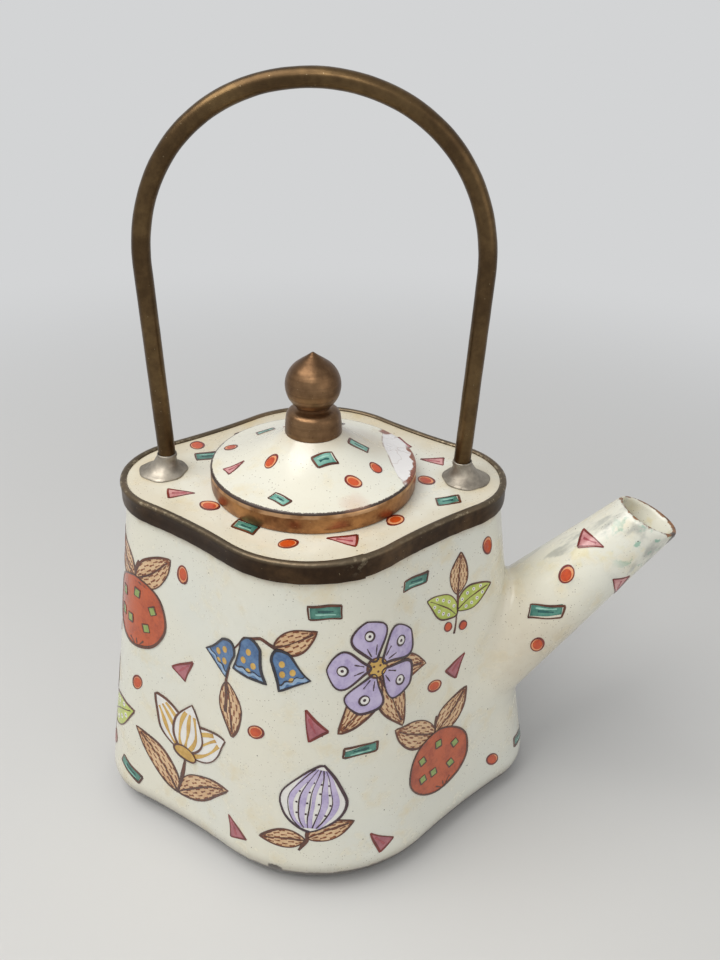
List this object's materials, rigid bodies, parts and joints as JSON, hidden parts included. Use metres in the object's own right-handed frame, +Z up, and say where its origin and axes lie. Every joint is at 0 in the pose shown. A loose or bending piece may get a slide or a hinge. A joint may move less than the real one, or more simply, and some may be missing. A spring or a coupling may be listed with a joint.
{
  "type": "miniature teapot",
  "caption": "Miniature enamelled metal teapot with a lozenge plan and hollow sides, a slanted spout, a fixed arched rod handle and a round lift-off lid with a turned knob.",
  "frame": {"origin": "middle of the shoulder's plan, on the plane that the foot rests on", "axes": "+Z up, +X along the plan's long axis towards the spout, -Y towards the front corner"},
  "size_m": [0.0835, 0.0484, 0.1057],
  "materials": {
    "enamel": "glossy ivory enamel",
    "dark_brass": "dark brown patina",
    "rod_brass": "brown patina, rubbed",
    "turned_brass": "turned, brown patina",
    "bare_copper": "bare copper, dull",
    "solder": "grey solder, satin"
  },
  "bodies": {
    "pot": {"body_wall": "enamel", "base_plate": "enamel", "top_plate": "enamel", "shoulder_band": "dark_brass", "spout": "enamel", "handle": "rod_brass", "left_ferrule": "solder", "right_ferrule": "solder"},
    "lid": {"lid_dome": "enamel", "lid_rim": "bare_copper", "lid_skirt": "bare_copper", "knob": "turned_brass", "knob_washer": "turned_brass", "knob_nut": "turned_brass"}
  },
  "joints": [
    {"name": "lid_lift", "type": "slide", "parent": "pot", "child": "lid", "axis": [0, 0, 1], "range_m": [0, 0.029]}
  ]
}
